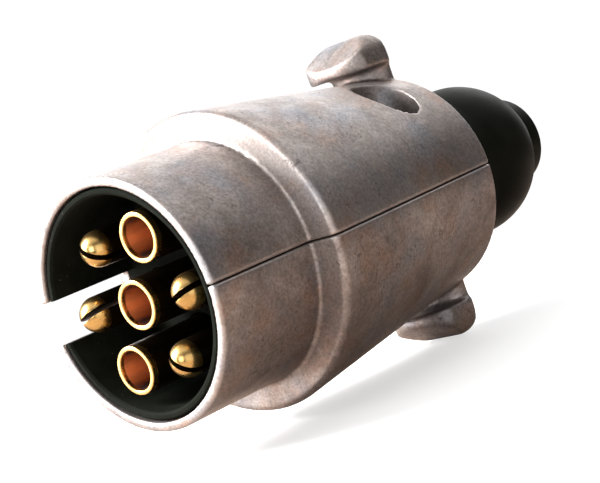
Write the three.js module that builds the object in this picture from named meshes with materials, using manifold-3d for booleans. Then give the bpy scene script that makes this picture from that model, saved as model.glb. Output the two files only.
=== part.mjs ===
// Seven-pole trailer plug: two die-cast half shells around a moulded contact carrier, with split
// pins, socket tubes, terminal screws, a cable clamp and a rubber boot. Millimetres, +Z up.
// Every piece is drawn with the mating rim at y = 0 and the cable end towards +Y; the two shells
// part at z = 0 and the keyway is at -X. The finished group is then centred on its own length.

import * as THREE from 'three';
import { mergeVertices } from 'three/addons/utils/BufferGeometryUtils.js';
import Module from 'manifold-3d';

const wasm = await Module();
wasm.setup();

// Driving dimensions
const GAP = 0.3; // space left between two pieces that touch on the real plug
const OVERALL_LENGTH = 85.2;

const NOSE_RADIUS = 17.5;
const NOSE_BORE_RADIUS = 16.2;
const NOSE_LENGTH = 18.3;
const SHOULDER_RADIUS = 21.5;
const SHOULDER_EDGE_RADIUS = 0.9;
const SHELL_END = 58;
const SHELL_END_RADIUS = 16.7;
const SHELL_WALL = 2.4;
const RIB_THICKNESS = 1.6; // the rib behind the collar groove
const RIB_SLOPE = 1;
const GROOVE_WALL = 1.4; // the wall ahead of the boot groove
const SIDE_STRETCH_AT_SHOULDER = 0.04; // the body is a little wider across the parting plane
const SIDE_STRETCH_AT_END = 0.062;

const COLLAR_START = 20.4;
const COLLAR_END = 23.8;
const COLLAR_RADIUS = 17.9;
const CARRIER_RADIUS = NOSE_BORE_RADIUS - GAP;
const LINING_WALL = 1;
const LINING_FRONT = 0.35;
const CUP_FLOOR = 15.2;
const CARRIER_END = 26.5;
const KEYWAY_WIDTH = 6.1;

const CONTACT_RING_RADIUS = 9.8;
const CONTACT_DROP = 0.4; // the contact pattern sits a little below the nose's axis
const PIN_RADIUS = 2.5;
const PIN_TIP = 0.3;
const PIN_SLOT_WIDTH = 0.8;
const PIN_SLOT_LENGTH = 11;
const TUBE_RADIUS = 3.47;
const TUBE_BORE_RADIUS = 2.8;
const TUBE_MOUTH = 1.6;
const TUBE_BORE_LENGTH = 12;
const BARREL_RADIUS = 3.6;
const TUBE_BARREL_RADIUS = 4.1;
const BARREL_START = CARRIER_END + GAP;
const BARREL_LENGTH = 9.2;
const WIRE_HOLE_RADIUS = 1.9;
const WIRE_HOLE_LENGTH = 7.2;
const TERMINAL_SCREW_FROM_END = 4.2;
const TERMINAL_HOLE_RADIUS = 1.6;

const HOUSING_SCREW_X = 10.8;
const HOUSING_SCREW_Y = 48.7;
const RECESS_RADIUS = 4.2;
const RECESS_FLOOR = 5.4;
const HOUSING_BOSS_RADIUS = 5.2;
const HOUSING_BOSS_END = 53.1;
const HOUSING_CLEARANCE_HOLE_RADIUS = 2.3;
const HOUSING_HOLE_RADIUS = 2.2;
const HOUSING_HOLE_BOTTOM = -12;

const CLAMP_SCREW_X = 9;
const CLAMP_Y = 40.6;
const CLAMP_BAR_WIDTH = 5;
const CLAMP_BAR_UNDERSIDE = 3;
const CLAMP_BAR_THICKNESS = 2;
const CLAMP_BAR_OVERHANG = 2.8; // beyond the screws
const CLAMP_ARCH_HALF_SPAN = 4.6;
const CLAMP_ARCH_LIFT = 1.2;
const CLAMP_POST_TOP = -3;
const CLAMP_POST_RADIUS = 3.1;
const CLAMP_HOLE_RADIUS = 1.8;
const CLAMP_HOLE_BOTTOM = -13.5;

const BOOT_GROOVE_START = 53.7;
const BOOT_GROOVE_END = 56.3;
const BOOT_GROOVE_RADIUS = 14;
const BOOT_OPENING_RADIUS = 11.2;
const BOOT_BULB_RADIUS = 11.8;
const BOOT_BULB_CENTRE = 72.1;
const BOOT_WALL = 2.2;
const BOOT_LIP_RADIUS = 7.1;
const CABLE_BORE_RADIUS = 4.4;

const LUG_HALF_WIDTH = 6.1;
const LUG_TIP = 50.1;
const LUG_TOP = 23.7;
const LUG_UNDERSIDE = 18.6;
const LUG_ROOT = 10;
const LUG_STEM_FRONT = 54.2;
const LUG_STEM_HALF_WIDTH = 5.8;

// Slotted screws: radius and height of the head, radius and length of the shank
const TERMINAL_SCREW = { head: 2.1, height: 1.5, shank: 1.3, length: 3 };
const HOUSING_SCREW = { head: 3.6, height: 2.6, shank: 1.85, length: 15 };
const CLAMP_SCREW = { head: 2.6, height: 1.9, shank: 1.45, length: 12 };

// Finishes
const CAST_ALUMINIUM = new THREE.MeshStandardMaterial({ color: 0x93877f, roughness: 0.5, metalness: 0.9 });
const BLACK_PLASTIC = new THREE.MeshStandardMaterial({ color: 0x101010, roughness: 0.6, metalness: 0 });
const BRASS = new THREE.MeshStandardMaterial({ color: 0xc79a4a, roughness: 0.25, metalness: 1 });
const STEEL = new THREE.MeshStandardMaterial({ color: 0xa8a8a6, roughness: 0.35, metalness: 1 });
const RUBBER = new THREE.MeshStandardMaterial({ color: 0x0c0c0c, roughness: 0.75, metalness: 0 });

const plug = new THREE.Group();
plug.position.y = -OVERALL_LENGTH / 2;

// Solid helpers

function toSolid(geometry) {
  const bare = geometry.clone();
  bare.deleteAttribute('normal');
  bare.deleteAttribute('uv');
  const merged = mergeVertices(bare, 1e-4);
  const corners = Array.from(merged.index.array);
  const kept = [];
  for (let i = 0; i < corners.length; i += 3) {
    const [a, b, c] = corners.slice(i, i + 3);
    if (a !== b && b !== c && c !== a) kept.push(a, b, c);
  }
  const places = merged.attributes.position.array;
  if (signedVolume(places, kept) < 0) kept.reverse();
  const mesh = new wasm.Mesh({
    numProp: 3,
    vertProperties: new Float32Array(places),
    triVerts: new Uint32Array(kept),
  });
  return new wasm.Manifold(mesh);
}

function signedVolume(places, corners) {
  const point = (i) => new THREE.Vector3().fromArray(places, 3 * i);
  let sum = 0;
  for (let i = 0; i < corners.length; i += 3) {
    sum += point(corners[i]).dot(point(corners[i + 1]).cross(point(corners[i + 2])));
  }
  return sum / 6;
}

// Adds a solid as a named mesh of a group, at a place within it.
function addPiece(name, solid, material, group = plug, place = [0, 0, 0]) {
  const mesh = solid.getMesh();
  const geometry = new THREE.BufferGeometry();
  geometry.setAttribute('position', new THREE.BufferAttribute(new Float32Array(mesh.vertProperties), 3));
  geometry.setIndex(Array.from(mesh.triVerts));
  geometry.computeVertexNormals();
  const piece = new THREE.Mesh(geometry, material);
  piece.name = name;
  piece.position.set(...place);
  group.add(piece);
}

function boxGeometry(low, high) {
  const size = high.map((value, i) => value - low[i]);
  const geometry = new THREE.BoxGeometry(...size);
  geometry.translate(...low.map((value, i) => value + size[i] / 2));
  return geometry;
}

function box(low, high) {
  return toSolid(boxGeometry(low, high));
}

// A solid turned about the Y axis from [radius, y] points that start and end on the axis.
function turned(profile, segments = 48) {
  const points = profile.map(([radius, y]) => new THREE.Vector2(radius, y));
  return toSolid(new THREE.LatheGeometry(points, segments));
}

function rodAlongY(radius, start, end, x = 0, z = 0, segments = 20) {
  const geometry = new THREE.CylinderGeometry(radius, radius, end - start, segments);
  geometry.translate(x, (start + end) / 2, z);
  return toSolid(geometry);
}

function rodAlongZ(radius, low, high, x, y, segments = 24) {
  const geometry = new THREE.CylinderGeometry(radius, radius, high - low, segments);
  geometry.rotateX(Math.PI / 2);
  geometry.translate(x, y, (low + high) / 2);
  return toSolid(geometry);
}

// Two rods along Z, one on each side of the mating axis.
function pairAlongZ(radius, low, high, x, y) {
  return rodAlongZ(radius, low, high, x, y).add(rodAlongZ(radius, low, high, -x, y));
}

// Points on an arc, angles in degrees, for rounding the corner of an outline.
function arc(centreX, centreY, radius, from, to, steps) {
  return Array.from({ length: steps + 1 }, (_, i) => {
    const angle = THREE.MathUtils.degToRad(from + ((to - from) * i) / steps);
    return [centreX + radius * Math.cos(angle), centreY + radius * Math.sin(angle)];
  });
}

function extruded(outline, depth) {
  const shape = new THREE.Shape(outline.map(([u, v]) => new THREE.Vector2(u, v)));
  return new THREE.ExtrudeGeometry(shape, { depth, bevelEnabled: false });
}

// Half shells

// The outside of both shells together, slightly wider across the parting plane than over it.
function shellOutside() {
  const edge = SHOULDER_EDGE_RADIUS;
  const noseEdge = 0.4;
  const endEdge = 0.6;
  const profile = [
    [0, 0],
    ...arc(NOSE_RADIUS - noseEdge, noseEdge, noseEdge, -90, 0, 3),
    [NOSE_RADIUS, NOSE_LENGTH],
    ...arc(SHOULDER_RADIUS - edge, NOSE_LENGTH + edge, edge, -90, 5, 5),
    ...arc(SHELL_END_RADIUS - endEdge, SHELL_END - endEdge, endEdge, 5, 90, 4),
    [0, SHELL_END],
  ];
  const points = profile.map(([radius, y]) => new THREE.Vector2(radius, y));
  const geometry = new THREE.LatheGeometry(points, 72);
  const places = geometry.attributes.position;
  for (let i = 0; i < places.count; i += 1) {
    const y = places.getY(i);
    const radius = Math.hypot(places.getX(i), places.getZ(i));
    if (radius <= NOSE_RADIUS + 0.01 && y < NOSE_LENGTH + 0.01) continue;
    const along = (y - NOSE_LENGTH) / (SHELL_END - NOSE_LENGTH);
    const stretch = THREE.MathUtils.lerp(SIDE_STRETCH_AT_SHOULDER, SIDE_STRETCH_AT_END, along);
    places.setX(i, places.getX(i) * (1 + stretch));
  }
  return toSolid(geometry);
}

function bodyRadius(y) {
  const along = (y - NOSE_LENGTH) / (SHELL_END - NOSE_LENGTH);
  return THREE.MathUtils.lerp(SHOULDER_RADIUS, SHELL_END_RADIUS, along);
}

// The hollow inside both shells: nose bore, collar groove, wiring space, boot groove and opening.
function shellInside() {
  const rib = COLLAR_END + GAP + RIB_THICKNESS;
  const cavityStart = rib + RIB_SLOPE;
  const cavityEnd = BOOT_GROOVE_START - GROOVE_WALL;
  return turned([
    [0, -1],
    [NOSE_BORE_RADIUS, -1],
    [NOSE_BORE_RADIUS, COLLAR_START - GAP],
    [COLLAR_RADIUS + GAP, COLLAR_START - GAP],
    [COLLAR_RADIUS + GAP, COLLAR_END + GAP],
    [NOSE_BORE_RADIUS, COLLAR_END + GAP],
    [NOSE_BORE_RADIUS, rib],
    [bodyRadius(cavityStart) - SHELL_WALL, cavityStart],
    [bodyRadius(cavityEnd) - SHELL_WALL, cavityEnd],
    [BOOT_OPENING_RADIUS, cavityEnd],
    [BOOT_OPENING_RADIUS, BOOT_GROOVE_START],
    [BOOT_GROOVE_RADIUS, BOOT_GROOVE_START],
    [BOOT_GROOVE_RADIUS, BOOT_GROOVE_END],
    [BOOT_OPENING_RADIUS, BOOT_GROOVE_END],
    [BOOT_OPENING_RADIUS, SHELL_END + 1],
    [0, SHELL_END + 1],
  ]);
}

// The lug of one shell, an ear flush with the cable end: a cap that leans forward over a narrower,
// rounded stem. The sign is that of the shell's side of the parting plane.
function lug(sign) {
  const crown = 1.8;
  const tip = 1.1;
  const side = extruded([
    [SHELL_END, LUG_UNDERSIDE],
    [SHELL_END, LUG_TOP - crown],
    ...arc(SHELL_END - crown, LUG_TOP - crown, crown, 20, 115, 5),
    ...arc(LUG_TIP + tip, LUG_UNDERSIDE + tip, tip, 135, 270, 6),
  ], 2 * LUG_HALF_WIDTH + 4);
  side.rotateY(Math.PI / 2);
  side.rotateX(Math.PI / 2);
  side.translate(-LUG_HALF_WIDTH - 2, 0, 0);

  const corner = 3.2;
  const front = extruded([
    [LUG_HALF_WIDTH + 1, LUG_ROOT],
    ...arc(LUG_HALF_WIDTH - corner, LUG_TOP - corner, corner, 0, 90, 4),
    ...arc(corner - LUG_HALF_WIDTH, LUG_TOP - corner, corner, 90, 180, 4),
    [-LUG_HALF_WIDTH - 1, LUG_ROOT],
  ], 30);
  front.rotateX(Math.PI / 2);
  front.translate(0, SHELL_END + 10, 0);

  const heel = 4;
  const reach = SHELL_END - heel - LUG_TIP;
  const ellipse = arc(0, 0, 1, 0, -180, 10)
    .map(([u, v]) => [u * (LUG_HALF_WIDTH + 0.4), SHELL_END - heel + v * reach]);
  const plan = extruded([
    [LUG_HALF_WIDTH + 2, SHELL_END + 5],
    ...ellipse,
    [-LUG_HALF_WIDTH - 2, SHELL_END + 5],
  ], 30);

  const depth = SHELL_END - LUG_STEM_FRONT;
  const foot = arc(0, 0, 1, 0, -180, 10).map(([u, v]) => [u * LUG_STEM_HALF_WIDTH, SHELL_END + v * depth]);
  const stem = extruded(foot, LUG_UNDERSIDE + 1 - LUG_ROOT);
  stem.translate(0, 0, LUG_ROOT);

  for (const geometry of [side, front, plan, stem]) geometry.scale(1, 1, sign);
  return toSolid(side).intersect(toSolid(front)).intersect(toSolid(plan)).add(toSolid(stem));
}

function keyway() {
  const half = KEYWAY_WIDTH / 2;
  return box([-NOSE_RADIUS - 2, -1, -half], [-NOSE_BORE_RADIUS + 4, CUP_FLOOR, half]);
}

// Everything on one side of the parting plane, short of half the gap.
function sideOfParting(sign) {
  const reach = 100;
  const [low, high] = sign > 0 ? [GAP / 2, reach] : [-reach, -GAP / 2];
  return box([-reach, -reach, low], [reach, reach, high]);
}

function halfShell(sign) {
  const outside = shellOutside();
  const bosses = pairAlongZ(HOUSING_BOSS_RADIUS, -20, 20, HOUSING_SCREW_X, HOUSING_SCREW_Y)
    .subtract(box([-30, HOUSING_BOSS_END, -30], [30, SHELL_END, 30]));
  return outside.add(lug(sign))
    .subtract(shellInside())
    .add(bosses.intersect(outside))
    .intersect(sideOfParting(sign))
    .subtract(keyway());
}

function upperShell() {
  return halfShell(1)
    .subtract(pairAlongZ(RECESS_RADIUS, RECESS_FLOOR, 30, HOUSING_SCREW_X, HOUSING_SCREW_Y))
    .subtract(pairAlongZ(HOUSING_CLEARANCE_HOLE_RADIUS, -1, 10, HOUSING_SCREW_X, HOUSING_SCREW_Y));
}

function lowerShell() {
  const posts = pairAlongZ(CLAMP_POST_RADIUS, -20, CLAMP_POST_TOP, CLAMP_SCREW_X, CLAMP_Y);
  return halfShell(-1)
    .add(posts.intersect(shellOutside()))
    .subtract(pairAlongZ(HOUSING_HOLE_RADIUS, HOUSING_HOLE_BOTTOM, 5, HOUSING_SCREW_X, HOUSING_SCREW_Y))
    .subtract(pairAlongZ(CLAMP_HOLE_RADIUS, CLAMP_HOLE_BOTTOM, 5, CLAMP_SCREW_X, CLAMP_Y));
}

// Contacts: the middle one and six on a ring, angles in degrees from +X towards +Z. The slot of a
// pin is turned by its own angle, as loose pins come.

const PINS = [
  { name: 'split_pin_right', angle: 0, slot: 18 },
  { name: 'split_pin_top', angle: 120, slot: -35 },
  { name: 'split_pin_keyway', angle: 180, slot: 20 },
  { name: 'split_pin_bottom', angle: 300, slot: -42 },
].map((pin) => ({ ...pin, ring: CONTACT_RING_RADIUS, front: PIN_RADIUS, barrel: BARREL_RADIUS }));
const TUBES = [
  { name: 'socket_tube_top', angle: 60, ring: CONTACT_RING_RADIUS },
  { name: 'socket_tube_centre', angle: 150, ring: 0 },
  { name: 'socket_tube_bottom', angle: 240, ring: CONTACT_RING_RADIUS },
].map((tube) => ({ ...tube, front: TUBE_RADIUS, barrel: TUBE_BARREL_RADIUS }));
const CONTACTS = [...PINS, ...TUBES];

function contactPlace({ angle, ring }) {
  const turn = THREE.MathUtils.degToRad(angle);
  return [ring * Math.cos(turn), ring * Math.sin(turn) - CONTACT_DROP];
}

// A group on a contact's axis, with +Z in it pointing the way the terminal screw faces.
function contactGroup(contact) {
  const [x, z] = contactPlace(contact);
  const group = new THREE.Group();
  group.position.set(x, 0, z);
  group.rotation.y = THREE.MathUtils.degToRad(90 - contact.angle);
  plug.add(group);
  return group;
}

function contactCarrier() {
  let carrier = turned([
    [0, CUP_FLOOR],
    [CARRIER_RADIUS - LINING_WALL, CUP_FLOOR],
    [CARRIER_RADIUS - LINING_WALL, LINING_FRONT],
    [CARRIER_RADIUS, LINING_FRONT],
    [CARRIER_RADIUS, COLLAR_START],
    [COLLAR_RADIUS, COLLAR_START],
    [COLLAR_RADIUS, COLLAR_END],
    [CARRIER_RADIUS, COLLAR_END],
    [CARRIER_RADIUS, CARRIER_END],
    [0, CARRIER_END],
  ]).subtract(keyway());
  for (const contact of CONTACTS) {
    const [x, z] = contactPlace(contact);
    carrier = carrier.subtract(rodAlongY(contact.front + GAP, CUP_FLOOR - 1, CARRIER_END + 1, x, z));
  }
  return carrier;
}

// The wire barrel behind a contact, with its wire hole and the hole of its terminal screw, drawn
// on the Y axis with the screw towards +Z.
function wireBarrel(radius) {
  const end = BARREL_START + BARREL_LENGTH;
  return rodAlongY(radius, BARREL_START, end)
    .subtract(rodAlongY(WIRE_HOLE_RADIUS, end - WIRE_HOLE_LENGTH, end + 1, 0, 0, 16))
    .subtract(rodAlongZ(TERMINAL_HOLE_RADIUS, 0, radius + 2, 0, end - TERMINAL_SCREW_FROM_END, 12));
}

function splitPin(pin) {
  const dome = arc(0, PIN_TIP + PIN_RADIUS, PIN_RADIUS, -90, 0, 5);
  dome[0][0] = 0;
  const slot = boxGeometry(
    [-PIN_RADIUS - 1, PIN_TIP - 1, -PIN_SLOT_WIDTH / 2],
    [PIN_RADIUS + 1, PIN_TIP + PIN_SLOT_LENGTH, PIN_SLOT_WIDTH / 2],
  );
  slot.rotateY(THREE.MathUtils.degToRad(pin.angle - 90 - pin.slot));
  return turned([...dome, [PIN_RADIUS, BARREL_START + 1], [0, BARREL_START + 1]], 20)
    .subtract(toSolid(slot))
    .add(wireBarrel(BARREL_RADIUS));
}

function socketTube() {
  const lip = 0.3;
  const boreEnd = TUBE_MOUTH + TUBE_BORE_LENGTH;
  return turned([
    [0, boreEnd],
    [TUBE_BORE_RADIUS, boreEnd],
    [TUBE_BORE_RADIUS, TUBE_MOUTH],
    [TUBE_RADIUS - lip, TUBE_MOUTH],
    [TUBE_RADIUS, TUBE_MOUTH + lip],
    [TUBE_RADIUS, BARREL_START + 1],
    [0, BARREL_START + 1],
  ], 24).add(wireBarrel(TUBE_BARREL_RADIUS));
}

// A slotted screw drawn on the Z axis, its head standing on z = 0 and its shank hanging below.
function slottedScrew({ head, height, shank, length }) {
  const halfSlot = head * 0.15;
  const slotFloor = height * 0.55;
  return rodAlongZ(head, 0, height, 0, 0, 20)
    .add(rodAlongZ(shank, -length, 0.5, 0, 0, 12))
    .subtract(box([-head - 1, -halfSlot, slotFloor], [head + 1, halfSlot, height + 1]));
}

// Cable clamp: a bar with an arched middle, drawn down by its two screws.
function clampBar() {
  const half = CLAMP_BAR_WIDTH / 2;
  const low = CLAMP_BAR_UNDERSIDE;
  const high = low + CLAMP_BAR_THICKNESS;
  const reach = CLAMP_SCREW_X + CLAMP_BAR_OVERHANG;
  const span = CLAMP_ARCH_HALF_SPAN;
  const arch = (from, to, halfWidth, base) => arc(0, 0, 1, from, to, 10)
    .map(([u, v]) => [u * halfWidth, base + v * CLAMP_ARCH_LIFT]);
  const geometry = extruded([
    [-reach, low],
    [-span, low],
    ...arch(180, 0, span - 0.4, low),
    [span, low],
    [reach, low],
    [reach, high],
    [span + 1, high],
    ...arch(0, 180, span + 0.6, high),
    [-span - 1, high],
    [-reach, high],
  ], CLAMP_BAR_WIDTH);
  geometry.rotateX(Math.PI / 2);
  geometry.translate(0, CLAMP_Y + half, 0);
  return toSolid(geometry)
    .subtract(pairAlongZ(CLAMP_HOLE_RADIUS, low - 1, high + 1, CLAMP_SCREW_X, CLAMP_Y));
}

// Rubber boot: a flange held in the shells' groove, a neck, a round bulb and a lip, all hollow.
function rubberBoot() {
  const neck = BOOT_OPENING_RADIUS - GAP;
  const bulb = (radius, from, to, steps) => arc(0, BOOT_BULB_CENTRE, radius, from, to, steps);
  const neckAngle = -THREE.MathUtils.radToDeg(Math.acos(neck / BOOT_BULB_RADIUS));
  const lipAngle = THREE.MathUtils.radToDeg(Math.acos((BOOT_LIP_RADIUS + 0.2) / BOOT_BULB_RADIUS));
  const innerRadius = BOOT_BULB_RADIUS - BOOT_WALL;
  const innerAngle = THREE.MathUtils.radToDeg(Math.acos(CABLE_BORE_RADIUS / innerRadius));
  const innerNeck = neck - BOOT_WALL;
  const innerNeckAngle = -THREE.MathUtils.radToDeg(Math.acos(innerNeck / innerRadius));
  const outside = turned([
    [0, BOOT_GROOVE_START + GAP],
    [BOOT_GROOVE_RADIUS - GAP, BOOT_GROOVE_START + GAP],
    [BOOT_GROOVE_RADIUS - GAP, BOOT_GROOVE_END - GAP],
    [neck, BOOT_GROOVE_END - GAP],
    ...bulb(BOOT_BULB_RADIUS, neckAngle, lipAngle, 9),
    [BOOT_LIP_RADIUS - 0.2, BOOT_BULB_CENTRE + 10],
    ...arc(BOOT_LIP_RADIUS - 1, OVERALL_LENGTH - 1, 1, 0, 90, 4),
    [0, OVERALL_LENGTH],
  ], 36);
  const inside = turned([
    [0, BOOT_GROOVE_START - 1],
    [innerNeck, BOOT_GROOVE_START - 1],
    ...bulb(innerRadius, innerNeckAngle, innerAngle, 6),
    [CABLE_BORE_RADIUS, OVERALL_LENGTH + 1],
    [0, OVERALL_LENGTH + 1],
  ], 28);
  return outside.subtract(inside);
}

addPiece('upper_shell', upperShell(), CAST_ALUMINIUM);
addPiece('lower_shell', lowerShell(), CAST_ALUMINIUM);
addPiece('contact_carrier', contactCarrier(), BLACK_PLASTIC);
addPiece('clamp_bar', clampBar(), STEEL);
addPiece('rubber_boot', rubberBoot(), RUBBER);

for (const contact of CONTACTS) {
  const group = contactGroup(contact);
  const solid = contact.slot === undefined ? socketTube() : splitPin(contact);
  addPiece(contact.name, solid, BRASS, group);
  const [, kind, spot] = contact.name.split('_');
  const screwName = kind === 'pin' ? `terminal_screw_${spot}` : `terminal_screw_tube_${spot}`;
  const screwY = BARREL_START + BARREL_LENGTH - TERMINAL_SCREW_FROM_END;
  addPiece(screwName, slottedScrew(TERMINAL_SCREW), STEEL, group, [0, screwY, contact.barrel + GAP]);
}

const clampSeat = CLAMP_BAR_UNDERSIDE + CLAMP_BAR_THICKNESS + GAP;
const housingSeat = RECESS_FLOOR + GAP;
for (const [end, side] of [['left', -1], ['right', 1]]) {
  const clampPlace = [side * CLAMP_SCREW_X, CLAMP_Y, clampSeat];
  const housingPlace = [side * HOUSING_SCREW_X, HOUSING_SCREW_Y, housingSeat];
  addPiece(`clamp_screw_${end}`, slottedScrew(CLAMP_SCREW), STEEL, plug, clampPlace);
  addPiece(`housing_screw_${end}`, slottedScrew(HOUSING_SCREW), STEEL, plug, housingPlace);
}

export default plug;
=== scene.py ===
"""Looks of the seven-pole trailer plug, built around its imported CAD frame. Drawn in millimetres from
the mating rim, with the cable end towards +Y, and placed in the frame in metres."""

import math

import bmesh
import bpy
import numpy as np
from mathutils import Matrix, Vector

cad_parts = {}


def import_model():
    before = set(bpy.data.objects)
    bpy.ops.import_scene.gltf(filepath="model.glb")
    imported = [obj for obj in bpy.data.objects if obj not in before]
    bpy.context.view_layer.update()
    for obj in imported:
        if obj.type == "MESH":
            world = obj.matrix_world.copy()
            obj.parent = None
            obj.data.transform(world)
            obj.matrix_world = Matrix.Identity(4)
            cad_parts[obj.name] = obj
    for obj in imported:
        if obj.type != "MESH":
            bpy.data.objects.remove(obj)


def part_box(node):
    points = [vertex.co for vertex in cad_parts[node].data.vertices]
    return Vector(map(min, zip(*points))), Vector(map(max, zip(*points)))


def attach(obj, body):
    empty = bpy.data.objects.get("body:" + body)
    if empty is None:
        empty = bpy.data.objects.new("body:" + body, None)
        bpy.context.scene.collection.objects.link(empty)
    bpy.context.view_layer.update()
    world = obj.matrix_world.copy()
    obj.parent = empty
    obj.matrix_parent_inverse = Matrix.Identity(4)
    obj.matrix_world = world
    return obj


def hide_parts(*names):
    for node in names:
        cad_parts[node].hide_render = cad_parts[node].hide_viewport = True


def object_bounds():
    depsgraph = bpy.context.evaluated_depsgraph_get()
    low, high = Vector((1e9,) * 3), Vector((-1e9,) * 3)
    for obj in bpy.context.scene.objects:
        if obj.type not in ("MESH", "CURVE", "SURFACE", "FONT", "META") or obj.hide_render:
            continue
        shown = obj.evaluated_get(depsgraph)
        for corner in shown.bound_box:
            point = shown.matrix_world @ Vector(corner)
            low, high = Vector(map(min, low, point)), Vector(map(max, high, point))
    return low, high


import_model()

CAD_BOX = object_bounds()
MM = 0.001
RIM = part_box("lower_shell")[0].y
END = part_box("rubber_boot")[1].y
OVERALL = (END - RIM) / MM

# Driving dimensions, as in the CAD
GAP = 0.3
NOSE_RADIUS = 17.5
NOSE_BORE = 16.2
NOSE_LENGTH = 18.3
SHOULDER_RADIUS = 21.5
SHELL_END = 58
SHELL_END_RADIUS = 16.7
SHELL_WALL = 2.4
SHOULDER_EDGE = 0.9  # radius of the rounded front edge
RIB_THICKNESS = 1.6  # the rib behind the collar groove
RIB_SLOPE = 1
GROOVE_WALL = 1.4  # the wall ahead of the boot groove
STRETCH_AT_SHOULDER = 0.04
STRETCH_AT_END = 0.062
COLLAR = (20.4, 23.8, 17.9)  # start, end, radius
CARRIER_RADIUS = NOSE_BORE - GAP
LINING_WALL = 1
LINING_FRONT = 0.35
CUP_FLOOR = 15.2
CARRIER_END = 26.5
KEYWAY_WIDTH = 6.1
RING = 9.8
DROP = 0.4
PIN_RADIUS = 2.5
PIN_TIP = 0.3
PIN_SLOT_WIDTH = 0.8
PIN_SLOT_LENGTH = 11
TUBE_RADIUS = 3.47
TUBE_BORE = 2.8
TUBE_MOUTH = 1.6
TUBE_BORE_LENGTH = 12
SHANK_BEFORE_PAINTED_SHADE = 0.2  # how far behind its dome a pin stays plain brass before its painted shade starts
COLLAR_BEFORE_PAINTED_SHADE = 1.0  # and how far a tube stays plain brass behind its mouth before its painted shade
BARREL_START = CARRIER_END + GAP
BARREL_LENGTH = 9.2
BARREL_END = BARREL_START + BARREL_LENGTH
WIRE_HOLE_RADIUS = 1.9
WIRE_HOLE_LENGTH = 7.2
TERMINAL_SCREW_Y = BARREL_END - 4.2
TERMINAL_HOLE_RADIUS = 1.6
HOUSING_SCREW = (10.8, 48.7)  # x, y
RECESS_RADIUS = 4.2
RECESS_FLOOR = 5.4
BOSS_RADIUS = 5.2
BOSS_END = 53.1
HOUSING_CLEARANCE_HOLE_RADIUS = 2.3
HOUSING_HOLE = (2.2, -12)  # radius, bottom
CLAMP_SCREW = (9, 40.6)  # x, y
CLAMP_HOLE = (1.8, -13.5)  # radius, bottom
CLAMP_UNDERSIDE = 3
CLAMP_THICKNESS = 2
CLAMP_WIDTH = 5
CLAMP_OVERHANG = 2.8  # beyond the screws
CLAMP_ARCH_HALF_SPAN = 4.6
CLAMP_ARCH_LIFT = 1.2
POST_TOP = -3
POST_RADIUS = 3.1
GROOVE = (53.7, 56.3, 14)  # start, end, radius
BOOT_OPENING = 11.2
BULB_RADIUS = 11.8
BULB_CENTRE = 72.1
BOOT_WALL = 2.2
LIP_RADIUS = 7.1
CABLE_BORE = 4.4
LUG_HALF_WIDTH = 6.1
LUG_TIP = 50.1
LUG_TOP = 23.7
LUG_UNDERSIDE = 18.6
LUG_ROOT = 10
LUG_STEM_FRONT = 54.2
LUG_STEM_HALF_WIDTH = 5.8

# Slotted screws: radius and height of the head, radius and length of the shank
TERMINAL_SCREW_SIZE = (2.1, 1.5, 1.3, 3)
HOUSING_SCREW_SIZE = (3.6, 2.6, 1.85, 15)
CLAMP_SCREW_SIZE = (2.6, 1.9, 1.45, 12)
THREAD_PITCH = 0.5
THREAD_DEPTH = 0.22

# Contacts: name, angle from +X towards +Z, distance from the axis, and a pin's slot angle
PINS = [
    ("right", 0, RING, 18),
    ("top", 120, RING, -35),
    ("keyway", 180, RING, 20),
    ("bottom", 300, RING, -42),
]
TUBES = [("top", 60, RING), ("centre", 150, 0), ("bottom", 240, RING)]
PIN_BARREL = 3.6
TUBE_BARREL = 4.1

PARTING_GAP = 0.16  # the two castings all but touch
SHELL_VOXEL = 0.24
WEAR_AND_HIGHLIGHT_GAIN = 4
FLOOR_RADIUS = 0.13
BOUNCE = (0.44, 0.34, 0.28)  # how much of the light the floor throws back up at the object
LIGHT_DISTANCE = 0.5

# The photograph's camera
CAMERA_AZIMUTH = 45.7
CAMERA_ELEVATION = 4.5
CAMERA_ROLL = -19.35
CAMERA_DISTANCE = 0.25
CAMERA_LENS = 115.2
CAMERA_AIM = Vector((0.0168, RIM + 0.0173, 0.0005))


# ---------------------------------------------------------------- mesh helpers

def new_object(name, mesh):
    piece = bpy.data.objects.new(name, mesh)
    bpy.context.scene.collection.objects.link(piece)
    return piece


def from_bmesh(name, bm):
    """Makes an object of a bmesh drawn in millimetres from the rim."""
    bmesh.ops.recalc_face_normals(bm, faces=bm.faces)
    bm.transform(Matrix.Translation((0, RIM, 0)) @ Matrix.Scale(MM, 4))
    mesh = bpy.data.meshes.new(name)
    bm.to_mesh(mesh)
    bm.free()
    return new_object(name, mesh)


def arc(centre_u, centre_v, radius, start, end, steps):
    angles = [math.radians(start + (end - start) * i / steps) for i in range(steps + 1)]
    return [(centre_u + radius * math.cos(a), centre_v + radius * math.sin(a)) for a in angles]


def lathe(name, profile, segments=160, shape=None, along="Y", place=(0, 0, 0)):
    """Turns (radius, height) points that start and end on the axis; shape moves each point."""
    bm = bmesh.new()
    rings = []
    for radius, height in profile:
        count = 1 if radius < 1e-6 else segments
        ring = []
        for i in range(count):
            angle = 2 * math.pi * i / segments
            u, v = radius * math.cos(angle), radius * math.sin(angle)
            point = Vector((u, height, v)) if along == "Y" else Vector((u, v, height))
            point = shape(point) if shape else point
            ring.append(bm.verts.new(point + Vector(place)))
        rings.append(ring)
    for a, b in zip(rings, rings[1:]):
        for i in range(segments):
            j = (i + 1) % segments
            corners = [a[i % len(a)], a[j % len(a)], b[j % len(b)], b[i % len(b)]]
            unique = list(dict.fromkeys(corners))
            if len(unique) > 2:
                bm.faces.new(unique)
    return from_bmesh(name, bm)


def rod(radius, low, high, along="Y", place=(0, 0, 0), segments=64):
    return lathe("rod", [(0, low), (radius, low), (radius, high), (0, high)], segments, None, along, place)


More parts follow.
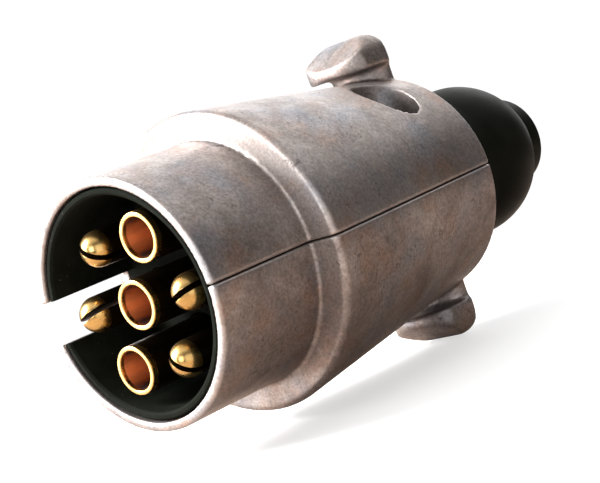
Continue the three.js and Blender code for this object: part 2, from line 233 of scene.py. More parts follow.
def prism(outline, low, high, across):
    """An outline of two coordinates carried along the third axis, across, from low to high."""
    bm = bmesh.new()
    order = {"X": lambda u, v, w: (w, u, v), "Y": lambda u, v, w: (u, w, v), "Z": lambda u, v, w: (u, v, w)}
    ends = [[bm.verts.new(order[across](u, v, w)) for u, v in outline] for w in (low, high)]
    bm.faces.new(ends[0])
    bm.faces.new(ends[1])
    for i in range(len(outline)):
        j = (i + 1) % len(outline)
        bm.faces.new([ends[0][i], ends[0][j], ends[1][j], ends[1][i]])
    return from_bmesh("prism", bm)


def block(low, high):
    outline = [(low[0], low[1]), (high[0], low[1]), (high[0], high[1]), (low[0], high[1])]
    return prism(outline, low[2], high[2], "Z")


def settle(piece):
    """Applies the modifiers of a piece."""
    graph = bpy.context.evaluated_depsgraph_get()
    mesh = bpy.data.meshes.new_from_object(piece.evaluated_get(graph))
    piece.modifiers.clear()
    piece.data = mesh
    return piece


def boolean(piece, tool, operation):
    modifier = piece.modifiers.new("cut", "BOOLEAN")
    modifier.object = tool
    modifier.operation = operation
    modifier.solver = "MANIFOLD"
    settle(piece)
    bpy.data.objects.remove(tool)
    return piece


def cut(piece, *tools):
    for tool in tools:
        boolean(piece, tool, "DIFFERENCE")
    return piece


def join(piece, *tools):
    for tool in tools:
        boolean(piece, tool, "UNION")
    return piece


def keep(piece, tool):
    return boolean(piece, tool, "INTERSECT")


def soften(piece, voxel, passes, factor=0.5):
    """Rebuilds a piece on a fine grid and rounds its edges, as casting does."""
    remesh = piece.modifiers.new("grid", "REMESH")
    remesh.mode = "VOXEL"
    remesh.voxel_size = voxel * MM
    smooth = piece.modifiers.new("round", "SMOOTH")
    smooth.iterations = passes
    smooth.factor = factor
    return settle(piece)


def edge_bevel(piece, width, angle=35, segments=2):
    """Bevels the edges of a piece that are sharper than the angle, by width millimetres."""
    bevel = piece.modifiers.new("bevel", "BEVEL")
    bevel.width = width * MM
    bevel.segments = segments
    bevel.limit_method = "ANGLE"
    bevel.angle_limit = math.radians(angle)
    bevel.harden_normals = False
    return settle(piece)


def shade(piece, angle=180):
    """Shades a piece smooth, but for edges sharper than the angle."""
    piece.data.shade_smooth()
    if angle < 180:
        piece.data.set_sharp_from_angle(angle=math.radians(angle))


def mark_wear_and_highlight(piece, passes=5):
    """Stores how far the surface bulges at each vertex as an attribute, about 0 to 1; the metal is lighter
    there, partly edge wear and partly a painted highlight.
    """
    mesh = piece.data
    count = len(mesh.vertices)
    places = np.empty(count * 3)
    normals = np.empty(count * 3)
    ends = np.empty(len(mesh.edges) * 2, dtype=int)
    mesh.vertices.foreach_get("co", places)
    mesh.vertices.foreach_get("normal", normals)
    mesh.edges.foreach_get("vertices", ends)
    places, normals = places.reshape(-1, 3), normals.reshape(-1, 3)
    one, other = ends[::2], ends[1::2]
    step = places[other] - places[one]
    length = np.linalg.norm(step, axis=1) + 1e-9
    bend = ((normals[other] - normals[one]) * step).sum(axis=1) / length
    valence = np.bincount(ends, minlength=count)

    def spread(to_one, to_other):
        """The mean at each vertex of the values that its edges carry to it."""
        total = np.bincount(one, to_one, count) + np.bincount(other, to_other, count)
        return total / valence

    wear_and_highlight = spread(bend, bend)
    for _ in range(passes):
        wear_and_highlight = 0.5 * wear_and_highlight + 0.5 * spread(wear_and_highlight[other], wear_and_highlight[one])
    mesh.attributes.new("wear_and_highlight", "FLOAT", "POINT").data.foreach_set("value", wear_and_highlight * WEAR_AND_HIGHLIGHT_GAIN)


def dress(piece, name, body, slot, material, *nodes):
    """Names a finished piece, gives it its material and stands it in for its CAD nodes."""
    piece.name = name
    piece.data.name = name
    if material:
        piece.data.materials.clear()
        piece.data.materials.append(material)
    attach(piece, body)
    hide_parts(*nodes)
    return piece


# ---------------------------------------------------------------- materials

class Nodes:
    """A short way to write a node material."""

    def __init__(self, name):
        self.material = bpy.data.materials.new(name)
        self.material.use_nodes = True
        self.tree = self.material.node_tree
        self.shader = self.tree.nodes["Principled BSDF"]
        self.place = self.tree.nodes.new("ShaderNodeTexCoord").outputs["Object"]

    def add(self, kind, inputs=None, **settings):
        node = self.tree.nodes.new(kind)
        for key, value in settings.items():
            setattr(node, key, value)
        for key, value in (inputs or {}).items():
            self.set(node.inputs[key], value)
        return node

    def set(self, socket, value):
        if isinstance(value, bpy.types.NodeSocket):
            self.tree.links.new(value, socket)
        else:
            socket.default_value = value

    def noise(self, size, detail=4, rough=0.55, stretch=(1, 1, 1), distortion=0.0):
        """Noise whose features are about size millimetres across, from 0 to 1."""
        place = self.add("ShaderNodeMapping", {"Vector": self.place, "Scale": stretch}).outputs[0]
        inputs = {"Vector": place, "Scale": 1 / (size * MM), "Detail": detail, "Roughness": rough}
        node = self.add("ShaderNodeTexNoise", inputs)
        node.inputs["Distortion"].default_value = distortion
        return node.outputs["Fac"]

    def ramp(self, value, *stops):
        node = self.add("ShaderNodeValToRGB", {"Fac": value})
        elements = node.color_ramp.elements
        while len(elements) < len(stops):
            elements.new(0.5)
        for element, (position, colour) in zip(elements, stops):
            element.position = position
            element.color = (*colour, 1) if isinstance(colour, tuple) else (colour, colour, colour, 1)
        return node.outputs["Color"]

    def mix(self, share, a, b, blend="MIX"):
        node = self.add("ShaderNodeMix", data_type="RGBA", blend_type=blend)
        for index, value in ((0, share), (6, a), (7, b)):
            if isinstance(value, tuple):
                value = (*value, 1)
            self.set(node.inputs[index], value)
        return node.outputs[2]

    def maths(self, operation, a, b=0.5):
        node = self.add("ShaderNodeMath", operation=operation)
        self.set(node.inputs[0], a)
        self.set(node.inputs[1], b)
        return node.outputs[0]

    def bump(self, height, depth, strength=1.0, below=None):
        """Relief of depth millimetres, on top of another relief."""
        node = self.add("ShaderNodeBump", {"Height": height, "Distance": depth * MM, "Strength": strength})
        if below:
            self.set(node.inputs["Normal"], below)
        return node.outputs["Normal"]

    def finish(self, **sockets):
        for name, value in sockets.items():
            self.set(self.shader.inputs[name.replace("_", " ")], value)
        return self.material


def cast_aluminium():
    n = Nodes("cast_aluminium")
    broad = n.noise(14, 5, 0.6, (1, 0.7, 1), 0.6)
    patches = n.noise(4.5, 6, 0.62, (1, 1, 1), 0.8)
    grain = n.noise(0.45, 4, 0.7)
    tone = n.mix(0.42, n.ramp(broad, (0.3, 0.0), (0.7, 1.0)), n.ramp(patches, (0.3, 0.0), (0.72, 1.0)))
    dark, middle, pale = (0.13, 0.11, 0.105), (0.27, 0.235, 0.22), (0.45, 0.405, 0.385)
    colour = n.ramp(tone, (0.0, dark), (0.45, middle), (1.0, pale))
    warm = n.ramp(n.noise(6, 4, 0.6), (0.50, 0.0), (0.68, 1.0))
    colour = n.mix(n.maths("MULTIPLY", warm, 0.45), colour, (0.33, 0.20, 0.145))
    cool = n.ramp(n.noise(8, 4, 0.55), (0.48, 0.0), (0.66, 1.0))
    colour = n.mix(n.maths("MULTIPLY", cool, 0.5), colour, (0.22, 0.24, 0.28))
    colour = n.mix(0.4, colour, n.ramp(grain, (0.36, 0.2), (0.64, 0.8)), "OVERLAY")
    smudge = n.ramp(n.noise(1.3, 7, 0.75, (1, 1, 1), 1.5), (0.57, 0.0), (0.64, 1.0))
    where = n.ramp(n.noise(9, 3, 0.5), (0.45, 0.0), (0.58, 1.0))
    smudge = n.maths("MULTIPLY", smudge, where)
    colour = n.mix(n.maths("MULTIPLY", smudge, 0.7), colour, (0.06, 0.045, 0.045))
    # Lighter on bulging edges: partly edge wear, partly painted highlight
    wear_and_highlight = n.add("ShaderNodeAttribute", attribute_name="wear_and_highlight").outputs["Fac"]
    edges = n.ramp(n.maths("ADD", wear_and_highlight, n.maths("MULTIPLY", patches, 0.2)), (0.5, 0.0), (1.0, 1.0))
    colour = n.mix(n.maths("MULTIPLY", edges, 0.35), colour, (0.60, 0.55, 0.53))
    rough = n.ramp(tone, (0.0, 0.56), (1.0, 0.40))
    rough = n.mix(n.maths("MULTIPLY", smudge, 0.8), rough, (0.7, 0.7, 0.7))
    relief = n.bump(n.noise(3.2, 2, 0.4), 0.05, 0.5)
    relief = n.bump(grain, 0.012, 0.6, relief)
    return n.finish(Base_Color=colour, Metallic=0.9, Roughness=rough, Normal=relief)


def black_plastic():
    n = Nodes("black_plastic")
    haze = n.noise(5, 4, 0.6)
    dust = n.ramp(n.noise(0.35, 2, 0.5), (0.70, 0.0), (0.76, 1.0))
    colour = n.ramp(haze, (0.3, (0.004, 0.005, 0.003)), (0.7, (0.009, 0.010, 0.008)))
    colour = n.mix(n.maths("MULTIPLY", dust, 0.08), colour, (0.45, 0.44, 0.42))
    rough = n.ramp(haze, (0.3, 0.58), (0.7, 0.74))
    n.shader.inputs["Specular IOR Level"].default_value = 0.02
    relief = n.bump(n.noise(0.25, 2, 0.5), 0.012, 0.6)
    return n.finish(Base_Color=colour, Roughness=rough, Normal=relief)


def brass(name, light, deep, smooth, dull):
    """Brass stained between two colours, dull where it is deep and smooth where it is light."""
    n = Nodes(name)
    stain = n.noise(1.8, 5, 0.6)
    colour = n.ramp(stain, (0.3, deep), (0.65, light))
    turning = n.noise(0.12, 2, 0.5, (0.15, 1, 0.15))
    rough = n.ramp(stain, (0.25, dull), (0.7, smooth))
    relief = n.bump(turning, 0.003, 0.5)
    return n.finish(Base_Color=colour, Metallic=1.0, Roughness=rough, Normal=relief)


def bore_brass_painted_shade():
    """Copper-brown brass inside a tube, with painted shade that turns it black towards the top and bottom of
    its bore.
    """
    n = Nodes("bore_brass_painted_shade")
    across = n.add("ShaderNodeAttribute", attribute_name="height_in_bore").outputs["Fac"]
    streaks = n.noise(0.5, 3, 0.6, (1, 0.25, 1))
    level = n.maths("ADD", n.maths("ABSOLUTE", across), n.maths("MULTIPLY", streaks, 0.3))
    # Copper-brown in the middle of the bore; the black towards its top and bottom is painted shade
    colour = n.ramp(level, (0.3, (0.95, 0.36, 0.14)), (0.75, (0.55, 0.17, 0.06)), (1.05, (0.05, 0.03, 0.03)))
    return n.finish(Base_Color=colour, Metallic=0.6, Roughness=n.ramp(streaks, (0.3, 0.34), (0.7, 0.46)))


def plated_steel():
    n = Nodes("plated_steel")
    stain = n.noise(1.5, 5, 0.6)
    colour = n.ramp(stain, (0.3, (0.42, 0.42, 0.40)), (0.7, (0.66, 0.66, 0.64)))
    rough = n.ramp(stain, (0.3, 0.42), (0.7, 0.26))
    relief = n.bump(n.noise(0.2, 3, 0.6), 0.006, 0.6)
    return n.finish(Base_Color=colour, Metallic=1.0, Roughness=rough, Normal=relief)


def black_rubber():
    n = Nodes("black_rubber")
    bloom = n.noise(6, 5, 0.6)
    colour = n.ramp(bloom, (0.3, (0.003, 0.004, 0.002)), (0.75, (0.008, 0.009, 0.007)))
    rough = n.ramp(bloom, (0.3, 0.44), (0.7, 0.62))
    n.shader.inputs["Specular IOR Level"].default_value = 0.06
    relief = n.bump(n.noise(0.3, 3, 0.6), 0.02, 0.6)
    relief = n.bump(n.noise(5, 2, 0.5), 0.12, 0.4, relief)
    return n.finish(Base_Color=colour, Roughness=rough, Normal=relief)


ALUMINIUM = cast_aluminium()
PLASTIC = black_plastic()
BRASS = brass("brass", (0.58, 0.38, 0.14), (0.42, 0.25, 0.08), 0.24, 0.34)
# Near-black brass: painted shade for the pin shanks, tube collars and pin slots deep in the cup
PAINTED_SHADE_BRASS = brass("brass_painted_shade", (0.10, 0.06, 0.028), (0.035, 0.022, 0.012), 0.28, 0.42)
BORE_BRASS_PAINTED_SHADE = bore_brass_painted_shade()
STEEL = plated_steel()
RUBBER = black_rubber()


# ---------------------------------------------------------------- half shells

def body_radius(y):
    along = (y - NOSE_LENGTH) / (SHELL_END - NOSE_LENGTH)
    return SHOULDER_RADIUS + (SHELL_END_RADIUS - SHOULDER_RADIUS) * along


def stretched(point):
    """The body is a little wider across the parting plane, the nose isn't."""
    radius = math.hypot(point.x, point.z)
    if radius <= NOSE_RADIUS + 0.01 and point.y < NOSE_LENGTH + 0.3:
        return point
    along = (point.y - NOSE_LENGTH) / (SHELL_END - NOSE_LENGTH)
    stretch = STRETCH_AT_SHOULDER + (STRETCH_AT_END - STRETCH_AT_SHOULDER) * along
    return Vector((point.x * (1 + stretch), point.y, point.z))


def shell_outside():
    edge = SHOULDER_EDGE
    profile = [
        (0, 0),
        *arc(NOSE_RADIUS - 0.3, 0.3, 0.3, -90, 0, 3),
        (NOSE_RADIUS, NOSE_LENGTH),
        *arc(SHOULDER_RADIUS - edge, NOSE_LENGTH + edge, edge, -90, 5, 6),
        *arc(SHELL_END_RADIUS - 0.5, SHELL_END - 0.5, 0.5, 5, 90, 4),
        (0, SHELL_END),
    ]
    return lathe("outside", profile, 240, stretched)


def wall_middle():
    """The body as it is half-way through the wall, where bosses and posts inside end."""
    half = SHELL_WALL / 2
    start, end = NOSE_LENGTH + half, SHELL_END - half
    profile = [(0, start), (body_radius(start) - half, start), (body_radius(end) - half, end), (0, end)]
    return lathe("middle", profile, 160, stretched)


def shell_inside():
    rib = COLLAR[1] + GAP + RIB_THICKNESS
    slope_end = rib + RIB_SLOPE
    cavity_end = GROOVE[0] - GROOVE_WALL
    profile = [
        (0, -1),
        (NOSE_BORE, -1),
        (NOSE_BORE, COLLAR[0] - GAP),
        (COLLAR[2] + GAP, COLLAR[0] - GAP),
        (COLLAR[2] + GAP, COLLAR[1] + GAP),
        (NOSE_BORE, COLLAR[1] + GAP),
        (NOSE_BORE, rib),
        (body_radius(slope_end) - SHELL_WALL, slope_end),
        (body_radius(cavity_end) - SHELL_WALL, cavity_end),
        (BOOT_OPENING, cavity_end),
        (BOOT_OPENING, GROOVE[0]),
        (GROOVE[2], GROOVE[0]),
        (GROOVE[2], GROOVE[1]),
        (BOOT_OPENING, GROOVE[1]),
        (BOOT_OPENING, SHELL_END + 1),
        (0, SHELL_END + 1),
    ]
    return lathe("inside", profile, 200)


def lug(sign):
    """An ear flush with the cable end: a cap that leans forward over a narrower, rounded stem."""
    crown, tip, corner, heel = 1.8, 1.1, 3.2, 4
    side = [
        (SHELL_END, LUG_UNDERSIDE),
        (SHELL_END, LUG_TOP - crown),
        *arc(SHELL_END - crown, LUG_TOP - crown, crown, 20, 115, 6),
        *arc(LUG_TIP + tip, LUG_UNDERSIDE + tip, tip, 135, 270, 6),
    ]
    front = [
        (LUG_HALF_WIDTH + 1, LUG_ROOT),
        *arc(LUG_HALF_WIDTH - corner, LUG_TOP - corner, corner, 0, 90, 8),
        *arc(corner - LUG_HALF_WIDTH, LUG_TOP - corner, corner, 90, 180, 8),
        (-LUG_HALF_WIDTH - 1, LUG_ROOT),
    ]
    reach = SHELL_END - heel - LUG_TIP
    nose = [((LUG_HALF_WIDTH + 0.4) * u, SHELL_END - heel + v * reach) for u, v in arc(0, 0, 1, 0, -180, 20)]
    plan = [(LUG_HALF_WIDTH + 2, SHELL_END + 5), *nose, (-LUG_HALF_WIDTH - 2, SHELL_END + 5)]
    piece = prism([(y, sign * z) for y, z in side], -LUG_HALF_WIDTH - 2, LUG_HALF_WIDTH + 2, "X")
    keep(piece, prism([(x, sign * z) for x, z in front], LUG_TIP - 5, SHELL_END + 5, "Y"))
    keep(piece, prism(plan, -30, 30, "Z"))
    depth = SHELL_END - LUG_STEM_FRONT
    foot = [(LUG_STEM_HALF_WIDTH * u, SHELL_END + v * depth) for u, v in arc(0, 0, 1, 0, -180, 20)]
    low, high = sorted((sign * LUG_ROOT, sign * (LUG_UNDERSIDE + 1)))
    join(piece, prism(foot, low, high, "Z"))
    return soften(piece, 0.3, 10)


def pair(radius, low, high, place):
    """Two rods along Z, one on each side."""
    return [rod(radius, low, high, "Z", (side * place[0], place[1], 0)) for side in (-1, 1)]


def keyway():
    return block((-NOSE_RADIUS - 2, -1, -KEYWAY_WIDTH / 2), (4 - NOSE_BORE, CUP_FLOOR, KEYWAY_WIDTH / 2))


def bosses_inside(low, high, place, radius):
    pieces = []
    for boss in pair(radius, low, high, place):
        pieces.append(keep(boss, wall_middle()))
    return pieces


def half_shell(sign):
    shell = shell_outside()
    join(shell, lug(sign))
    cut(shell, shell_inside())
    low, high = (0, 20) if sign > 0 else (-20, 0)
    for boss in bosses_inside(low, high, HOUSING_SCREW, BOSS_RADIUS):
        join(shell, cut(boss, block((-30, BOSS_END, -30), (30, SHELL_END, 30))))
    if sign < 0:
        join(shell, *bosses_inside(-20, POST_TOP, CLAMP_SCREW, POST_RADIUS))
    near, far = sorted((sign * PARTING_GAP / 2, sign * 40))
    keep(shell, block((-40, -5, near), (40, 70, far)))
    cut(shell, keyway())
    if sign > 0:
        cut(shell, *pair(RECESS_RADIUS, RECESS_FLOOR, 30, HOUSING_SCREW))
        cut(shell, *pair(HOUSING_CLEARANCE_HOLE_RADIUS, -1, 10, HOUSING_SCREW))
    else:
        cut(shell, *pair(*HOUSING_HOLE, 5, HOUSING_SCREW))
        cut(shell, *pair(*CLAMP_HOLE, 5, CLAMP_SCREW))
    soften(shell, SHELL_VOXEL, 3)
    shade(shell)
    mark_wear_and_highlight(shell)
    return shell


dress(half_shell(1), "upper_half_shell", "upper_shell", "cast_aluminium", ALUMINIUM, "upper_shell")
dress(half_shell(-1), "lower_half_shell", "root", "cast_aluminium", ALUMINIUM, "lower_shell")


# ---------------------------------------------------------------- contact carrier

def contact_axis(angle, ring):
    turn = math.radians(angle)
    return ring * math.cos(turn), ring * math.sin(turn) - DROP


def contact_carrier():
    lining = CARRIER_RADIUS - LINING_WALL
    piece = lathe("carrier", [
        (0, CUP_FLOOR),
        *arc(lining - 0.6, CUP_FLOOR - 0.6, 0.6, 90, 0, 4),
        (lining, LINING_FRONT + 0.3),
        (lining + 0.3, LINING_FRONT),
        (CARRIER_RADIUS - 0.2, LINING_FRONT),
        (CARRIER_RADIUS, LINING_FRONT + 0.2),
        (CARRIER_RADIUS, COLLAR[0]),
        (COLLAR[2], COLLAR[0]),
        (COLLAR[2], COLLAR[1]),
        (CARRIER_RADIUS, COLLAR[1]),
        (CARRIER_RADIUS, CARRIER_END),
        (0, CARRIER_END),
    ], 200)
    cut(piece, keyway())
    for contacts, radius in ((PINS, PIN_RADIUS), (TUBES, TUBE_RADIUS)):
        for _, angle, ring, *_ in contacts:
            x, z = contact_axis(angle, ring)
            cut(piece, rod(radius + GAP, CUP_FLOOR - 1, CARRIER_END + 1, "Y", (x, 0, z)))
    edge_bevel(piece, 0.1)
    shade(piece, 30)
    return piece


dress(contact_carrier(), "insert", "root", "black_plastic", PLASTIC, "contact_carrier")


# ---------------------------------------------------------------- contacts and their screws

def at_contact(piece, angle, ring):
    """Turns a piece drawn on the Y axis with its screw towards +Z, and puts it on its contact."""
    x, z = contact_axis(angle, ring)
    turn = Matrix.Rotation(math.radians(90 - angle), 4, "Y")
    piece.data.transform(Matrix.Translation((x * MM, 0, z * MM)) @ turn)
    return piece


def wire_barrel_cuts(radius):
    wire = rod(WIRE_HOLE_RADIUS, BARREL_END - WIRE_HOLE_LENGTH, BARREL_END + 1)
    return wire, rod(TERMINAL_HOLE_RADIUS, 0, radius + 2, "Z", (0, TERMINAL_SCREW_Y, 0), 32)


def barrel_profile(radius):
    return [
        (radius - 0.3, BARREL_START),
        (radius, BARREL_START + 0.3),
        (radius, BARREL_END - 0.3),
        (radius - 0.3, BARREL_END),
        (0, BARREL_END),
    ]


def paint_contact_shade(piece, rule, *materials):
    """Gives each face of a contact the material whose number the rule returns for it: plain brass, or brass
    carrying painted shade.
    """
    piece.data.materials.clear()
    for material in materials:
        piece.data.materials.append(material)
    for polygon in piece.data.polygons:
        centre = polygon.center / MM
        polygon.material_index = rule(math.hypot(centre.x, centre.z), centre.y - RIM / MM, polygon.normal)


def pin_painted_shade(radius, y, normal):
    """Plain brass on the domed tip, painted shade in the slot and behind."""
    behind = y > PIN_TIP + PIN_RADIUS + SHANK_BEFORE_PAINTED_SHADE
    in_slot = abs(normal.y) < 0.02 and radius < 0.9 * PIN_RADIUS
    return 1 if behind or in_slot else 0


def tube_painted_shade(radius, y, normal):
    """Plain brass at the mouth, painted shade behind it, and in the bore copper-brown brass with painted
    shade.
    """
    if radius < TUBE_BORE + 0.05 and y > TUBE_MOUTH + 0.6:
        return 2
    return 1 if y > TUBE_MOUTH + COLLAR_BEFORE_PAINTED_SHADE else 0


def split_pin(angle, ring, slot):
    dome = arc(0, PIN_TIP + PIN_RADIUS, PIN_RADIUS, -90, 0, 14)
    collar = (PIN_RADIUS, PIN_TIP + PIN_RADIUS + SHANK_BEFORE_PAINTED_SHADE)
    profile = [(0, PIN_TIP), *dome[1:], collar, (PIN_RADIUS, BARREL_START), *barrel_profile(PIN_BARREL)]
    piece = lathe("pin", profile, 96)
    cut(piece, *wire_barrel_cuts(PIN_BARREL))
    half = PIN_SLOT_WIDTH / 2
    gap = block((-PIN_RADIUS - 1, PIN_TIP - 1, -half), (PIN_RADIUS + 1, PIN_TIP + PIN_SLOT_LENGTH, half))
    gap.data.transform(Matrix.Rotation(math.radians(-slot - (90 - angle)), 4, "Y"))
    cut(piece, gap)
    edge_bevel(piece, 0.06, 40)
    shade(piece, 35)
    paint_contact_shade(piece, pin_painted_shade, BRASS, PAINTED_SHADE_BRASS)
    return at_contact(piece, angle, ring)


def socket_tube(angle, ring):
    bore_end = TUBE_MOUTH + TUBE_BORE_LENGTH
    edge = 0.15
    profile = [
        (0, bore_end),
        (TUBE_BORE, bore_end),
        (TUBE_BORE, TUBE_MOUTH + 0.65),
        *arc(TUBE_BORE + edge, TUBE_MOUTH + edge, edge, 180, 270, 4),
        *arc(TUBE_RADIUS - edge, TUBE_MOUTH + edge, edge, 270, 360, 4),
        (TUBE_RADIUS, TUBE_MOUTH + COLLAR_BEFORE_PAINTED_SHADE),
        (TUBE_RADIUS, BARREL_START),
        *barrel_profile(TUBE_BARREL),
    ]
    piece = lathe("tube", profile, 96)
    cut(piece, *wire_barrel_cuts(TUBE_BARREL))
    shade(piece, 35)
    paint_contact_shade(piece, tube_painted_shade, BRASS, PAINTED_SHADE_BRASS, BORE_BRASS_PAINTED_SHADE)
    at_contact(piece, angle, ring)
    # The height in the bore, which sets where the bore's painted shade falls
    middle = contact_axis(angle, ring)[1]
    height = [(vertex.co.z / MM - middle) / TUBE_BORE for vertex in piece.data.vertices]
    piece.data.attributes.new("height_in_bore", "FLOAT", "POINT").data.foreach_set("value", height)
    return piece


def slotted_screw(head, height, shank, length, place):
    """A cheese-head screw along Z, its head standing on place."""
    crown = [(head, height - 0.35), (head - 0.12, height - 0.12), (head - 0.4, height)]
    profile = [(0, -length), (shank - 0.3, -length), (shank, 0.4 - length)]
    for i in range(int((length - 1) / THREAD_PITCH)):
        start = 0.5 - length + i * THREAD_PITCH
        profile += [(shank, start), (shank - THREAD_DEPTH, start + THREAD_PITCH / 2)]
    profile += [(shank, 0), (head - 0.15, 0), (head, 0.15), *crown, (0, height)]
    piece = lathe("screw", profile, 64, None, "Z", place)
    half = head * 0.15
    x, y, z = place
    slot = block((x - head - 1, y - half, z + height * 0.55), (x + head + 1, y + half, z + height + 2))
    cut(piece, slot)
    shade(piece, 35)
    return piece


for name, angle, ring, slot_angle in PINS:
    node = f"split_pin_{name}"
    dress(split_pin(angle, ring, slot_angle), f"{node}_brass", "root", "brass", None, node)
for name, angle, ring in TUBES:
    node = f"socket_tube_{name}"
    dress(socket_tube(angle, ring), f"{node}_brass", "root", "brass", None, node)

SCREWS = [(f"terminal_screw_{pin[0]}", *pin[1:3], PIN_BARREL) for pin in PINS]
SCREWS += [(f"terminal_screw_tube_{tube[0]}", *tube[1:3], TUBE_BARREL) for tube in TUBES]
for node, angle, ring, barrel in SCREWS:
    screw = slotted_screw(*TERMINAL_SCREW_SIZE, (0, TERMINAL_SCREW_Y, barrel + GAP))
    dress(at_contact(screw, angle, ring), f"{node}_steel", node, "plated_steel", STEEL, node)


# ---------------------------------------------------------------- clamp and housing screws

def clamp_bar():
    inner, lift = CLAMP_ARCH_HALF_SPAN, CLAMP_ARCH_LIFT
    low, high = CLAMP_UNDERSIDE, CLAMP_UNDERSIDE + CLAMP_THICKNESS
    reach = CLAMP_SCREW[0] + CLAMP_OVERHANG
    outline = [
        (-reach, low),
        (-inner, low),
        *[((inner - 0.4) * u, low + v * lift) for u, v in arc(0, 0, 1, 180, 0, 16)],
        (inner, low),
        (reach, low),
        (reach, high),
        (inner + 1, high),
        *[((inner + 0.6) * u, high + v * lift) for u, v in arc(0, 0, 1, 0, 180, 16)],
        (-inner - 1, high),
        (-reach, high),
    ]
    y = CLAMP_SCREW[1]
    piece = prism(outline, y - CLAMP_WIDTH / 2, y + CLAMP_WIDTH / 2, "Y")
    cut(piece, *pair(CLAMP_HOLE[0], low - 1, high + 1, CLAMP_SCREW))
    edge_bevel(piece, 0.25, 35, 3)
    shade(piece, 35)
    return piece


dress(clamp_bar(), "cable_clamp", "clamp_bar", "plated_steel", STEEL, "clamp_bar")
SCREW_PAIRS = [
    ("clamp_screw", CLAMP_SCREW_SIZE, CLAMP_SCREW, CLAMP_UNDERSIDE + CLAMP_THICKNESS + GAP),
    ("housing_screw", HOUSING_SCREW_SIZE, HOUSING_SCREW, RECESS_FLOOR + GAP),
]
for side, name in ((-1, "left"), (1, "right")):
    for kind, size, place, seat in SCREW_PAIRS:
        node = f"{kind}_{name}"
        screw = slotted_screw(*size, (side * place[0], place[1], seat))
        dress(screw, f"{node}_steel", node, "plated_steel", STEEL, node)


# ---------------------------------------------------------------- rubber boot

def rubber_boot():
    neck = BOOT_OPENING - GAP
    inner = BULB_RADIUS - BOOT_WALL
    inner_neck = neck - BOOT_WALL
    start = -math.degrees(math.acos(neck / BULB_RADIUS))
    end = math.degrees(math.acos((LIP_RADIUS + 0.2) / BULB_RADIUS))
    inner_start = -math.degrees(math.acos(inner_neck / inner))
    inner_end = math.degrees(math.acos(CABLE_BORE / inner))
    flange = (GROOVE[0] + GAP, GROOVE[1] - GAP, GROOVE[2] - GAP)
    outside = [
        (inner_neck, flange[0]),
        (flange[2] - 0.4, flange[0]),
        (flange[2], flange[0] + 0.4),
        (flange[2], flange[1] - 0.4),
        (flange[2] - 0.4, flange[1]),
        (neck, flange[1]),
        *arc(0, BULB_CENTRE, BULB_RADIUS, start, end, 40),
        *arc(LIP_RADIUS + 0.15, BULB_CENTRE + 9.55, 0.25, 200, 110, 3),
        *arc(LIP_RADIUS - 1.1, OVERALL - 1.1, 1.1, 0, 90, 6),
        *arc(CABLE_BORE + 0.5, OVERALL - 0.5, 0.5, 90, 180, 4),
    ]
    inside = list(reversed(arc(0, BULB_CENTRE, inner, inner_start, inner_end, 24)))
    profile = outside + inside
    bm = bmesh.new()
    segments = 128
    rings = []
    for radius, y in profile:
        angles = [2 * math.pi * i / segments for i in range(segments)]
        rings.append([bm.verts.new((radius * math.cos(a), y, radius * math.sin(a))) for a in angles])
    for a, b in zip(rings, rings[1:] + rings[:1]):
        for i in range(segments):
            j = (i + 1) % segments
            bm.faces.new([a[i], a[j], b[j], b[i]])
    piece = from_bmesh("boot", bm)
    shade(piece, 50)
    return piece


dress(rubber_boot(), "boot", "root", "black_rubber", RUBBER, "rubber_boot")


# ---------------------------------------------------------------- stage, light and camera

def floor():
    bm = bmesh.new()
    bmesh.ops.create_circle(bm, cap_ends=True, segments=96, radius=FLOOR_RADIUS)
    mesh = bpy.data.meshes.new("floor")
    bm.to_mesh(mesh)
    bm.free()
    ground = new_object("floor", mesh)
    ground.location.z = CAD_BOX[0].z - 0.0002
    n = Nodes("pale_floor")
    seen = n.add("ShaderNodeLightPath").outputs["Is Camera Ray"]
    n.finish(Base_Color=n.mix(seen, BOUNCE, (0.55, 0.55, 0.55)), Roughness=0.9)
    n.finish(Emission_Color=(1, 1, 1, 1), Emission_Strength=n.maths("MULTIPLY", seen, 0.5))
    ground.data.materials.append(n.material)


def world():
    """White where the camera looks past the object, and a soft dim room for everything else."""
    scene_world = bpy.data.worlds.new("studio")
    bpy.context.scene.world = scene_world
    scene_world.use_nodes = True
    tree = scene_world.node_tree
    tree.nodes.clear()
    output = tree.nodes.new("ShaderNodeOutputWorld")
    mix = tree.nodes.new("ShaderNodeMixShader")
    seen = tree.nodes.new("ShaderNodeBackground")
    room = tree.nodes.new("ShaderNodeBackground")
    path = tree.nodes.new("ShaderNodeLightPath")
    seen.inputs["Color"].default_value = (1, 1, 1, 1)
    seen.inputs["Strength"].default_value = 1.05
    place = tree.nodes.new("ShaderNodeTexCoord")
    split = tree.nodes.new("ShaderNodeSeparateXYZ")
    ramp = tree.nodes.new("ShaderNodeValToRGB")
    half = tree.nodes.new("ShaderNodeMath")
    half.operation = "MULTIPLY_ADD"
    half.inputs[1].default_value = 0.5
    half.inputs[2].default_value = 0.5
    tree.links.new(place.outputs["Generated"], split.inputs[0])
    tree.links.new(split.outputs["Z"], half.inputs[0])
    tree.links.new(half.outputs[0], ramp.inputs["Fac"])
    stops = [(0.0, (0.30, 0.27, 0.25)), (0.5, (0.06, 0.055, 0.05)), (1.0, (0.30, 0.29, 0.29))]
    elements = ramp.color_ramp.elements
    elements.new(0.5)
    for element, (position, colour) in zip(elements, stops):
        element.position = position
        element.color = (*colour, 1)
    tree.links.new(ramp.outputs["Color"], room.inputs["Color"])
    tree.links.new(path.outputs["Is Camera Ray"], mix.inputs[0])
    tree.links.new(room.outputs[0], mix.inputs[1])
    tree.links.new(seen.outputs[0], mix.inputs[2])
    tree.links.new(mix.outputs[0], output.inputs["Surface"])


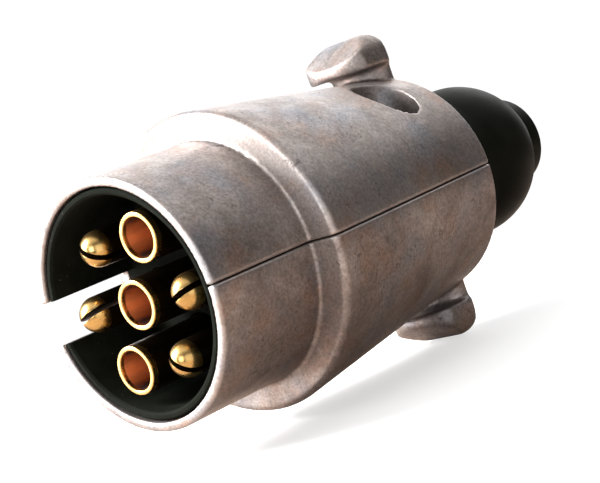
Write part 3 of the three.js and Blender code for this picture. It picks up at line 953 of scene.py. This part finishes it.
def area_light(name, towards, size, power):
    """A soft box that looks at the middle of the object from a direction."""
    light = bpy.data.lights.new(name, "AREA")
    light.shape = "SQUARE"
    light.size = size
    light.energy = power
    lamp = bpy.data.objects.new(name, light)
    bpy.context.scene.collection.objects.link(lamp)
    direction = Vector(towards).normalized()
    lamp.location = direction * LIGHT_DISTANCE
    lamp.rotation_euler = direction.to_track_quat("Z", "Y").to_euler()


def sun(name, towards, strength, softness):
    """A distant light from a direction, softness degrees across."""
    light = bpy.data.lights.new(name, "SUN")
    light.energy = strength
    light.angle = math.radians(softness)
    lamp = bpy.data.objects.new(name, light)
    bpy.context.scene.collection.objects.link(lamp)
    lamp.rotation_euler = Vector(towards).normalized().to_track_quat("Z", "Y").to_euler()


def camera():
    azimuth, elevation, roll = (math.radians(a) for a in (CAMERA_AZIMUTH, CAMERA_ELEVATION, CAMERA_ROLL))
    back = Vector((
        math.sin(azimuth) * math.cos(elevation),
        -math.cos(azimuth) * math.cos(elevation),
        math.sin(elevation),
    ))
    right = Vector((math.cos(azimuth), math.sin(azimuth), 0))
    up = back.cross(right)
    turned_right = math.cos(roll) * right + math.sin(roll) * up
    turned_up = -math.sin(roll) * right + math.cos(roll) * up
    view = bpy.data.objects.new("camera", bpy.data.cameras.new("camera"))
    bpy.context.scene.collection.objects.link(view)
    basis = Matrix((turned_right, turned_up, back)).transposed().to_4x4()
    view.matrix_world = Matrix.Translation(CAMERA_AIM + back * CAMERA_DISTANCE) @ basis
    view.data.sensor_width = 36
    view.data.lens = CAMERA_LENS
    view.data.clip_start = 0.01
    view.data.clip_end = 50
    bpy.context.scene.camera = view


floor()
world()
sun("overhead", (-0.3, 0.2, 0.9), 2.6, 120)
area_light("backdrop", (-0.50, 0.76, 0.38), 0.5, 1.3)
area_light("front_left", (-0.78, -0.64, 0.16), 0.36, 3.2)
area_light("upper_left", (-0.60, -0.56, 0.55), 0.2, 8)
area_light("front", (0.1, -1.0, 0.2), 0.2, 0.8)
area_light("near", (0.80, -0.60, 0.05), 0.4, 0.9)
camera()
bpy.context.scene.view_settings.view_transform = "Standard"
